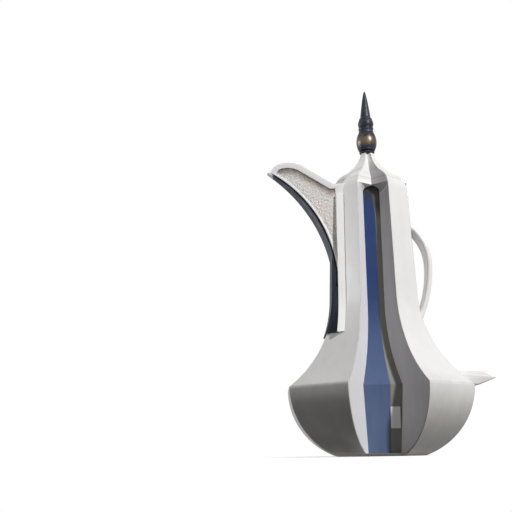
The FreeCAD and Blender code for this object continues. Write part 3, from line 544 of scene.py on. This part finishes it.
def rounded(corners, cut):
    """Rings of points from rings of corners.
    Each corner becomes a curve that starts and ends a cut away from it.
    A support point beyond each end of the curve keeps the flats flat."""
    before = np.roll(corners, 1, axis=-2) - corners
    after = np.roll(corners, -1, axis=-2) - corners
    before = before / np.linalg.norm(before, axis=-1, keepdims=True)
    after = after / np.linalg.norm(after, axis=-1, keepdims=True)
    t = np.linspace(0, 1, ROUND_STEPS)[:, None]
    curve = cut * ((1 - t) ** 2 * before[..., None, :] + t ** 2 * after[..., None, :])
    ends = (cut + CORNER_SUPPORT) * np.stack([before, after], axis=-2)
    offsets = np.concatenate([ends[..., :1, :], curve, ends[..., 1:, :]], axis=-2)
    points = corners[..., None, :] + offsets
    return points.reshape(points.shape[:-3] + (-1, points.shape[-1]))


def rolled_edge(size):
    """A quarter round of an edge, as (distance in from the side, depth under the face)."""
    turn = np.linspace(0, math.pi / 2, ROUND_STEPS)
    return size * np.stack([1 - np.cos(turn), 1 - np.sin(turn)], axis=-1)


def tube(rings):
    """A closed skin over rings of points, with a flat face on the first and the last ring.
    Each ring runs counter-clockwise for someone looking back along the way the rings go."""
    rows, columns = rings.shape[:2]
    index = np.arange(rows * columns).reshape(rows, columns)
    near = index[:-1]
    far = index[1:]
    quads = np.stack([near, np.roll(near, -1, axis=1), np.roll(far, -1, axis=1), far], axis=-1)
    ends = [index[0][::-1].tolist(), index[-1].tolist()]
    return rings.reshape(-1, 3), quads.reshape(-1, 4).tolist() + ends


def mirrored(skin):
    """The same skin on the other side of the plane through the spout and the handle."""
    points, faces = skin
    return points * np.array([1, -1, 1]), [face[::-1] for face in faces]


def stand_in(node, body, skin, stains_and_shadows=None):
    """A piece in millimetres that stands for one solid and keeps its finish.
    Stains and painted shadows are each given as a share for each point."""
    points, faces = skin
    mesh = bpy.data.meshes.new(node + "_skin")
    mesh.from_pydata((points * MM).tolist(), [], faces)
    mesh.polygons.foreach_set("use_smooth", np.ones(len(faces), dtype=bool))
    mesh.set_sharp_from_angle(angle=SHARP_ANGLE)
    mesh.materials.append(NODE_FINISHES[node])
    for layer, shares in (stains_and_shadows or {}).items():
        mesh.attributes.new(layer, "FLOAT", "POINT").data.foreach_set("value", shares.ravel())
    piece = bpy.data.objects.new(node + "_skin", mesh)
    scene.collection.objects.link(piece)
    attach(piece, body)
    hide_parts(node)


# Petals of the shell
PETAL_TURNS = {"back_right": 1, "back_left": 3, "front_left": 5, "front_right": 7}
PETAL_ROWS = 220
PETAL_EDGE = 0.5


def petal(turns):
    """One side of the octagon: a thin mitred section with rounded edges, carried up the profile.
    It is then turned about the axis by a number of eighths of a turn."""
    z = np.linspace(FOOT_TOP, PETAL_TOP, PETAL_ROWS)
    outer = body_profile(z)
    inner = outer - WALL * np.sqrt(1 + np.gradient(outer, z) ** 2)
    sides = ((outer, -HALF_TAN), (outer, HALF_TAN), (inner, HALF_TAN), (inner, -HALF_TAN))
    corners = np.stack([np.stack([side, side * tan], axis=-1) for side, tan in sides], axis=1)
    section = rounded(corners, PETAL_EDGE)
    angle = turns * CORNER_STEP
    x = section[..., 0] * math.cos(angle) - section[..., 1] * math.sin(angle)
    y = section[..., 0] * math.sin(angle) + section[..., 1] * math.cos(angle)
    return tube(np.stack([x, y, z[:, None] + 0 * x], axis=-1))


for corner, turns in PETAL_TURNS.items():
    stand_in("petal_" + corner, "pot", petal(turns))

# Lid: an ogee crown with eight sides and a vee groove over each slot
LID_ROWS = 70
LID_STEPS = 256
ARCH_TOP = 283.5
ARCH_FACE = 26.0
GROOVE_RATIO = 0.45
GROOVE_OVERLAP = 0.3
GROOVE_SOFTNESS = 0.15


def crown_profile(z):
    """The shoulder's round top, then the hollow crown that touches it and ends at the stem."""
    across = STEM_APOTHEM - SHOULDER_CENTRE
    rise = STEM_LEVEL - SHOULDER_LEVEL
    gap = math.hypot(across, rise)
    reach = SHOULDER_RADIUS + CROWN_HOLLOW_RADIUS
    along = (gap ** 2 + reach ** 2 - CROWN_HOLLOW_RADIUS ** 2) / (2 * gap)
    aside = math.sqrt(reach ** 2 - along ** 2)
    centre = SHOULDER_CENTRE + (along * across + aside * rise) / gap
    level = SHOULDER_LEVEL + (along * rise - aside * across) / gap
    touch = SHOULDER_LEVEL + (level - SHOULDER_LEVEL) * SHOULDER_RADIUS / reach
    shoulder = circle_side(SHOULDER_CENTRE, SHOULDER_LEVEL, SHOULDER_RADIUS, 1, z)
    return np.where(z < touch, shoulder, circle_side(centre, level, CROWN_HOLLOW_RADIUS, -1, z))


def lid_crown():
    """Radius over angle and height: the least of eight flats and, over the slots, of two groove faces."""
    z = np.linspace(LID_BOTTOM, STEM_LEVEL, LID_ROWS)[:, None]
    angle = np.arange(LID_STEPS)[None, :] * (2 * math.pi / LID_STEPS)
    apothem = crown_profile(z)
    from_flat = np.abs((angle + CORNER_STEP / 2) % CORNER_STEP - CORNER_STEP / 2)
    flat = apothem / np.cos(from_flat)
    share = (STEM_LEVEL - z) / (STEM_LEVEL - ARCH_TOP)
    lip_ratio = 1 - ARCH_FACE / crown_profile(ARCH_TOP)
    valley = (1 - GROOVE_RATIO - (lip_ratio - GROOVE_RATIO) * share) * apothem
    slant = (apothem - valley) / (HALF_TAN * apothem + GROOVE_OVERLAP)
    groove = valley / (np.cos(from_flat) - slant * np.sin(from_flat))
    over_slot = np.abs(np.sin(angle)) > math.cos(CORNER_STEP / 2)
    radius = np.where(over_slot, soft_least(flat, groove, GROOVE_SOFTNESS), flat)
    return tube(np.stack([radius * np.cos(angle), radius * np.sin(angle), z + 0 * radius], axis=-1))


stand_in("lid_shell", "lid", lid_crown())

# Finial, turned on a lathe
LATHE_STEPS = 96
LATHE_ROWS = 70
RIM_DROP = 0.8
RIM_REACH = 0.5
LINE_DEPTH = 0.35
LINE_WIDTH = 0.35
SPIKE_POINT = 0.4
SPIKE_FULLNESS = 0.70
SPIKE_SHARE = 0.84
SPIKE_FLANGE = 1.6

# Shares of the greatest radius at the ends and in the middle, and shares of the height for turned lines
FINIAL_TURNINGS = {
    "finial_collar": (0.85, 1.0, ()),
    "finial_bulb": (0.79, 1.0, (0.09, 0.91)),
    "finial_spool": (1.0, 0.91, (0.5,)),
    "finial_bead": (0.86, 1.0, (0.15, 0.85)),
}


def measured(node):
    """A round solid's underside, height and greatest radius, in millimetres."""
    low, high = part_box(node)
    return low[2] / MM, (high[2] - low[2]) / MM, high[1] / MM


def lathe(bottom, heights, radii):
    """A profile of radii over heights, spun about the pot's axis."""
    angle = np.arange(LATHE_STEPS)[None, :] * (2 * math.pi / LATHE_STEPS)
    radius = radii[:, None]
    z = bottom + heights[:, None]
    return tube(np.stack([radius * np.cos(angle), radius * np.sin(angle), z + 0 * angle], axis=-1))


def swelling(node, end_share, middle_share, lines):
    """A side bowed from the ends' radius to the middle's, with softened rims and fine turned lines."""
    bottom, height, radius = measured(node)
    share = np.linspace(0, 1, LATHE_ROWS)
    bow = radius * (end_share + (middle_share - end_share) * np.sin(math.pi * share))
    rim = RIM_DROP * np.exp(-np.minimum(share, 1 - share) * height / RIM_REACH)
    cuts = sum(np.exp(-((share - line) * height / LINE_WIDTH) ** 2) for line in lines)
    return lathe(bottom, share * height, bow - rim - LINE_DEPTH * cuts)


def spike():
    """A flange, then a slender point whose side is slightly bowed."""
    bottom, height, radius = measured("finial_spike")
    share = np.linspace(0, 1, LATHE_ROWS)
    taper = SPIKE_POINT + (radius * SPIKE_SHARE - SPIKE_POINT) * (1 - share) ** SPIKE_FULLNESS
    flange = radius * (1 - SPIKE_SHARE) * np.exp(-(share * height / SPIKE_FLANGE) ** 4)
    return lathe(bottom, share * height, taper + flange)


for node, turning in FINIAL_TURNINGS.items():
    stand_in(node, "lid", swelling(node, *turning))
stand_in("finial_spike", "lid", spike())

# Handle: a strap with a soft oblong section
HANDLE_REACH = 62.9
HANDLE_TOP = 245.0
HANDLE_BOTTOM = 137.0
HANDLE_MIDDLE_SHARE = 7 / 12
HANDLE_MIDDLE = HANDLE_BOTTOM + (HANDLE_TOP - HANDLE_BOTTOM) * HANDLE_MIDDLE_SHARE
HANDLE_THICKNESS = 5.4
HANDLE_HALF_WIDTH = 12.0
HANDLE_EDGE = 2.4
HANDLE_ROWS = 90
HANDLE_OVERRUN = 0.03


def bow_arc(end):
    """One arc of the bow: its centre's distance, its radius and its sweep.
    The sweep is run on a little into the shell."""
    drop = HANDLE_REACH - float(body_profile(np.array(end)))
    rise = end - HANDLE_MIDDLE
    radius = (drop ** 2 + rise ** 2) / (2 * drop)
    return HANDLE_REACH - radius, radius, math.asin(rise / radius) + math.copysign(HANDLE_OVERRUN, rise)


def handle_bow():
    """Two arcs that touch at the furthest point, carrying a rounded oblong.
    The oblong's long side lies across the pot."""
    low_centre, low_radius, low_sweep = bow_arc(HANDLE_BOTTOM)
    high_centre, high_radius, high_sweep = bow_arc(HANDLE_TOP)
    angle = np.linspace(low_sweep, high_sweep, HANDLE_ROWS)[:, None]
    centre = np.where(angle < 0, low_centre, high_centre)
    radius = np.where(angle < 0, low_radius, high_radius)
    near = -HANDLE_HALF_WIDTH
    far = HANDLE_HALF_WIDTH
    corners = np.array([(-HANDLE_THICKNESS, near), (0, near), (0, far), (-HANDLE_THICKNESS, far)])
    section = rounded(corners, HANDLE_EDGE)
    reach = radius + section[:, 0]
    x = centre + reach * np.cos(angle)
    return tube(np.stack([x, section[:, 1] + 0 * x, HANDLE_MIDDLE + reach * np.sin(angle)], axis=-1))


stand_in("handle_bow", "pot", handle_bow())

# Tilt lug over the waist
LUG_ROOT = 70.0
LUG_TOP_SLANT = 10.0
LUG_BOTTOM_SLANT = 18.0
LUG_EDGE = 1.6


def tilt_lug():
    """A rounded wedge carried across the pot.
    It shrinks towards its middle at both ends, so its sides are rounded too."""
    low, high = (np.array(end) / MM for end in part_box("tilt_lug"))
    middle = (low[2] + high[2]) / 2
    corners = np.array([(LUG_ROOT, high[2]), (high[0] - LUG_TOP_SLANT, high[2]), (high[0], middle),
                        (high[0] - LUG_BOTTOM_SLANT, low[2]), (LUG_ROOT, low[2])])
    hub = np.array([LUG_ROOT, middle])
    half = np.array([high[0] - LUG_ROOT, high[2] - middle])
    roll = rolled_edge(LUG_EDGE)
    y = np.concatenate([low[1] + roll[::-1, 1], high[1] - roll[:, 1]])[:, None]
    inset = np.concatenate([roll[::-1, 0], roll[:, 0]])[:, None, None]
    section = hub + (rounded(corners, LUG_EDGE) - hub) * (1 - inset / half)
    return tube(np.stack([section[..., 0], y + 0 * section[..., 0], section[..., 1]], axis=-1))


stand_in("tilt_lug", "pot", tilt_lug())

# Spout: two cheeks with a sunk plate of hammer-marked infill in each
TIP_REACH = 112.0
TIP_LEVEL = 305.5
TIP_HALF_WIDTH = 4.5
TIP_BOW = 2.2
CREST = (-96.0, 315.0)
SLOPE = (-73.0, 310.0)
SPOUT_BACK = (-39.9, 286.0)
ROOT_HALF_WIDTH = 23.0
KEEL_RADIUS = 156.5
KEEL_LEVEL = 174.5
KEEL_CENTRE = SPOUT_BACK[0] - KEEL_RADIUS
KEEL_THICKNESS = 1.8
CHEEK_THICKNESS = 3.2
CHEEK_EDGE = 0.7
BORDER = 6.5
KEEL_BORDER = 2.0
POCKET_BACK = -38.4
POCKET_DEPTH = 1.9
INFILL_RECESS = 1.1
INFILL_GAP = 0.15
INFILL_TIP_GAP = BORDER / 4
LOOP_STEPS = 70
FINE_STEPS = 20 * LOOP_STEPS
SPOUT_SLOPE = (ROOT_HALF_WIDTH - TIP_HALF_WIDTH) / (TIP_REACH + SPOUT_BACK[0])
SPOUT_STRETCH = math.hypot(1, SPOUT_SLOPE)


def on_cheek(outline, depth):
    """Points of the front cheek, from an outline of (distance, height) and a depth under the outer face."""
    x = outline[..., 0]
    y = -TIP_HALF_WIDTH - (x + TIP_REACH) * SPOUT_SLOPE + depth * SPOUT_STRETCH
    return np.stack([x, y, outline[..., 1]], axis=-1)


def keel_line(x, depth):
    """Height of the keel's arc, moved a depth into the spout."""
    return KEEL_LEVEL + np.sqrt((KEEL_RADIUS + depth) ** 2 - (x - KEEL_CENTRE) ** 2)


def bowed(start, end, rise):
    """A shallow parabola from start to end that stands a rise to the left of the straight line."""
    t = np.linspace(0, 1, LOOP_STEPS)[:, None]
    run = np.array(end) - np.array(start)
    aside = np.array([-run[1], run[0]]) / np.linalg.norm(run)
    return np.array(start) + run * t + aside * rise * 4 * t * (1 - t)


def resampled(path, steps):
    """The same path with evenly spread points."""
    length = np.concatenate([[0], np.cumsum(np.linalg.norm(np.diff(path, axis=0), axis=1))])
    at = np.linspace(0, length[-1], steps)
    return np.stack([np.interp(at, length, path[:, 0]), np.interp(at, length, path[:, 1])], axis=-1)


def spout_top():
    """The upper edge: tip to crest, crest to slope, then straight back to the shoulder."""
    tip_x = KEEL_CENTRE + math.sqrt((KEEL_RADIUS + KEEL_THICKNESS) ** 2 - (TIP_LEVEL - KEEL_LEVEL) ** 2)
    return np.concatenate([bowed((tip_x, TIP_LEVEL), CREST, TIP_BOW), bowed(CREST, SLOPE, TIP_BOW),
                           bowed(SLOPE, SPOUT_BACK, 0)])


def pocket_top(x):
    """Height of the pocket's upper edge: the spout's own edge moved a border inwards."""
    path = resampled(spout_top(), 3 * LOOP_STEPS)
    run = np.gradient(path, axis=0)
    run = run / np.linalg.norm(run, axis=1, keepdims=True)
    moved = path + BORDER * np.stack([run[:, 1], -run[:, 0]], axis=-1)
    return np.interp(x, np.maximum.accumulate(moved[:, 0]), moved[:, 1])


def pocket_tip():
    """Where the pocket's upper edge comes down to its lower one."""
    x = np.linspace(CREST[0] - BORDER * 2, SLOPE[0], FINE_STEPS)
    return x[np.argmax(pocket_top(x) > keel_line(x, KEEL_THICKNESS + KEEL_BORDER))]


def shell_line(z):
    """Where the cheek's outer face runs into the petal beside it."""
    reach = math.sqrt(2) * body_profile(z) - TIP_HALF_WIDTH - TIP_REACH * SPOUT_SLOPE
    return -reach / (1 - SPOUT_SLOPE)


def cheek_foot():
    """The height where the keel's upper face comes out of the petal beside it."""
    z = np.linspace(KEEL_LEVEL, TIP_LEVEL, FINE_STEPS)
    keel = circle_side(KEEL_CENTRE, KEEL_LEVEL, KEEL_RADIUS + KEEL_THICKNESS, 1, z)
    return z[np.argmax(keel < shell_line(z))]


def cheek_loops():
    """The cheek's outline and the pocket's, both counter-clockwise for someone in front of the pot."""
    z = np.linspace(SPOUT_BACK[1], cheek_foot(), LOOP_STEPS)
    back = np.stack([shell_line(z), z], axis=-1)
    top = resampled(np.concatenate([spout_top(), back[:1]]), 2 * LOOP_STEPS)
    x = np.linspace(back[-1, 0], top[0, 0], 2 * LOOP_STEPS)
    keel = np.stack([x, keel_line(x, KEEL_THICKNESS)], axis=-1)
    rim = np.concatenate([top[:-1], back[:-1], keel[:-1]])
    tip = pocket_tip()
    x = np.linspace(tip, POCKET_BACK, 2 * LOOP_STEPS)
    upper = np.stack([x, pocket_top(x)], axis=-1)
    lower = np.stack([x, keel_line(x, KEEL_THICKNESS + KEEL_BORDER)], axis=-1)[::-1]
    z = np.linspace(upper[-1, 1], lower[0, 1], LOOP_STEPS)
    side = np.stack([0 * z + POCKET_BACK, z], axis=-1)
    pocket = np.concatenate([upper[:-1], side[:-1], lower[:-1]])
    return rim[::-1], pocket[::-1]


def cheek():
    """Rings from the plate's back, over its rolled outer edge and its border, down into the pocket."""
    rim, pocket = cheek_loops()
    inward = pocket - rim
    inward = inward / np.linalg.norm(inward, axis=1, keepdims=True)
    roll = rolled_edge(CHEEK_EDGE)
    rings = [on_cheek(rim, CHEEK_THICKNESS)]
    rings += [on_cheek(rim + inward * inset, depth) for inset, depth in roll]
    rings += [on_cheek(pocket - inward * inset, depth) for inset, depth in roll[::-1]]
    rings += [on_cheek(pocket, POCKET_DEPTH)]
    return tube(np.stack(rings))


HAMMER_ROWS = 260
HAMMER_COLUMNS = 130
HAMMER_DEPTH = 0.35
HAMMER_WAVES = 9
HAMMER_LENGTH = 2.8
HAMMER_VARIETY = 0.35
HAMMER_SHUFFLE = 2.7
# Reach of the painted shadow under the upper border
BORDER_SHADOW_REACH = 6.5
WASH_REACH = 2.6


def hammer_marks(x, z):
    """Relief from 0 to 1: plane waves of a few lengths that cross in many directions."""
    wave = np.arange(HAMMER_WAVES)
    angle = wave * math.pi / HAMMER_WAVES
    length = HAMMER_LENGTH * (1 + HAMMER_VARIETY * np.sin(HAMMER_SHUFFLE * wave))
    along = x[..., None] * np.cos(angle) + z[..., None] * np.sin(angle)
    phase = along * (2 * math.pi / length) + wave ** 2
    return 0.5 + 0.5 * np.tanh(np.sin(phase).sum(axis=-1) / math.sqrt(HAMMER_WAVES))


def infill():
    """A plate between the pocket's two edges: rings of hammered face and flat back, from tip to root.
    Painted shadow under the upper edge and whitewash over the lower one fall off as bell curves.
    Gives the skin and the shares of both."""
    x = np.linspace(pocket_tip() + INFILL_TIP_GAP, POCKET_BACK - INFILL_GAP, HAMMER_ROWS)[:, None]
    low = keel_line(x, KEEL_THICKNESS + KEEL_BORDER) + INFILL_GAP
    high = pocket_top(x) - INFILL_GAP
    share = np.linspace(1, 0, HAMMER_COLUMNS)
    z = low + (high - low) * share
    x = x + 0 * z
    edge = np.minimum(np.sin(math.pi * share) * HAMMER_LENGTH, 1)
    depth = INFILL_RECESS - HAMMER_DEPTH * hammer_marks(x, z) * edge
    face = np.stack([x, z], axis=-1)
    back = face[:, [-1, 0]]
    level = np.concatenate([z, z[:, [-1, 0]]], axis=1)
    stains_and_shadows = {"border_shadow": np.exp(-((high - level) / BORDER_SHADOW_REACH) ** 2),
              "whitewash": np.exp(-((level - low) / WASH_REACH) ** 2)}
    return tube(np.concatenate([on_cheek(face, depth), on_cheek(back, POCKET_DEPTH)], axis=1)), stains_and_shadows


for name, (skin, stains_and_shadows) in (("cheek", (cheek(), None)), ("infill", infill())):
    stand_in("spout_" + name + "_front", "pot", skin, stains_and_shadows)
    stand_in("spout_" + name + "_back", "pot", mirrored(skin), stains_and_shadows)

# Floor, world and lamps
FLOOR_HALF = 4.0
FLOOR_GLOW = 0.65
FLOOR_FADE = (0.07, 0.15)


def mixed_shader(tree, factor, first, second):
    """The first shader at factor 0, the second at factor 1."""
    mix = place(tree, "ShaderNodeMixShader", Fac=factor)
    tree.links.new(first.outputs[0], mix.inputs[1])
    tree.links.new(second.outputs[0], mix.inputs[2])
    return mix


def pale_floor():
    """A pale floor near the pot that fades to plain white further out.
    The light that it throws up is that of a darker floor."""
    material, tree, shader = start_material("pale_floor")
    tree.nodes.remove(shader)
    away = place(tree, "ShaderNodeVectorMath", {"operation": "LENGTH"}, Vector=object_point(tree))
    pale = place(tree, "ShaderNodeBsdfDiffuse", Color=FLOOR_GREY)
    glow = place(tree, "ShaderNodeEmission", Color=WHITE, Strength=FLOOR_GLOW)
    lit = place(tree, "ShaderNodeAddShader")
    tree.links.new(pale.outputs[0], lit.inputs[0])
    tree.links.new(glow.outputs[0], lit.inputs[1])
    plain = place(tree, "ShaderNodeEmission", Color=WHITE, Strength=1.0)
    fading = mixed_shader(tree, spread(tree, away.outputs["Value"], *FLOOR_FADE), lit, plain)
    dim = place(tree, "ShaderNodeBsdfDiffuse", Color=BOUNCE_GREY)
    choice = mixed_shader(tree, seen_rays(tree), dim, fading)
    tree.links.new(choice.outputs[0], tree.nodes["Material Output"].inputs["Surface"])
    return material


def make_floor():
    mesh = bpy.data.meshes.new("floor")
    corners = [(-FLOOR_HALF, -FLOOR_HALF, 0), (FLOOR_HALF, -FLOOR_HALF, 0),
               (FLOOR_HALF, FLOOR_HALF, 0), (-FLOOR_HALF, FLOOR_HALF, 0)]
    mesh.from_pydata(corners, [], [(0, 1, 2, 3)])
    mesh.materials.append(pale_floor())
    floor = bpy.data.objects.new("floor", mesh)
    scene.collection.objects.link(floor)


def make_world():
    """White to the eye and in reflections, and a dim grey sky as fill light."""
    world = bpy.data.worlds.new("studio")
    world.use_nodes = True
    scene.world = world
    tree = world.node_tree
    colour = blended(tree, seen_rays(tree), SKY_GREY, WHITE)
    tree.links.new(colour, tree.nodes["Background"].inputs["Color"])


def lamp(name, kind, aim, azimuth, elevation, distance, **settings):
    """A lamp that looks at an aim: azimuth 0 is in front of the slot and grows towards the handle."""
    data = bpy.data.lights.new(name, kind)
    for setting, value in settings.items():
        setattr(data, setting, value)
    turn = math.radians(azimuth)
    rise = math.radians(elevation)
    level = math.cos(rise)
    out = Vector((math.sin(turn) * level, -math.cos(turn) * level, math.sin(rise)))
    light = bpy.data.objects.new(name, data)
    light.location = Vector(aim) + distance * out
    light.rotation_euler = (-out).to_track_quat("-Z", "Y").to_euler()
    scene.collection.objects.link(light)


make_floor()
make_world()
lamp("key_lamp", "AREA", aim=(0, 0, 0.18), azimuth=34, elevation=30, distance=3.0,
     shape="DISK", size=0.18, energy=89.0, color=(0.98, 0.985, 0.985))
lamp("neck_lamp", "SPOT", aim=(0, 0, 0.235), azimuth=-95, elevation=8, distance=1.6,
     spot_size=math.radians(13), spot_blend=0.9, shadow_soft_size=0.05, energy=51.0, color=(0.96, 0.98, 1.0))
scene.view_settings.view_transform = "Standard"
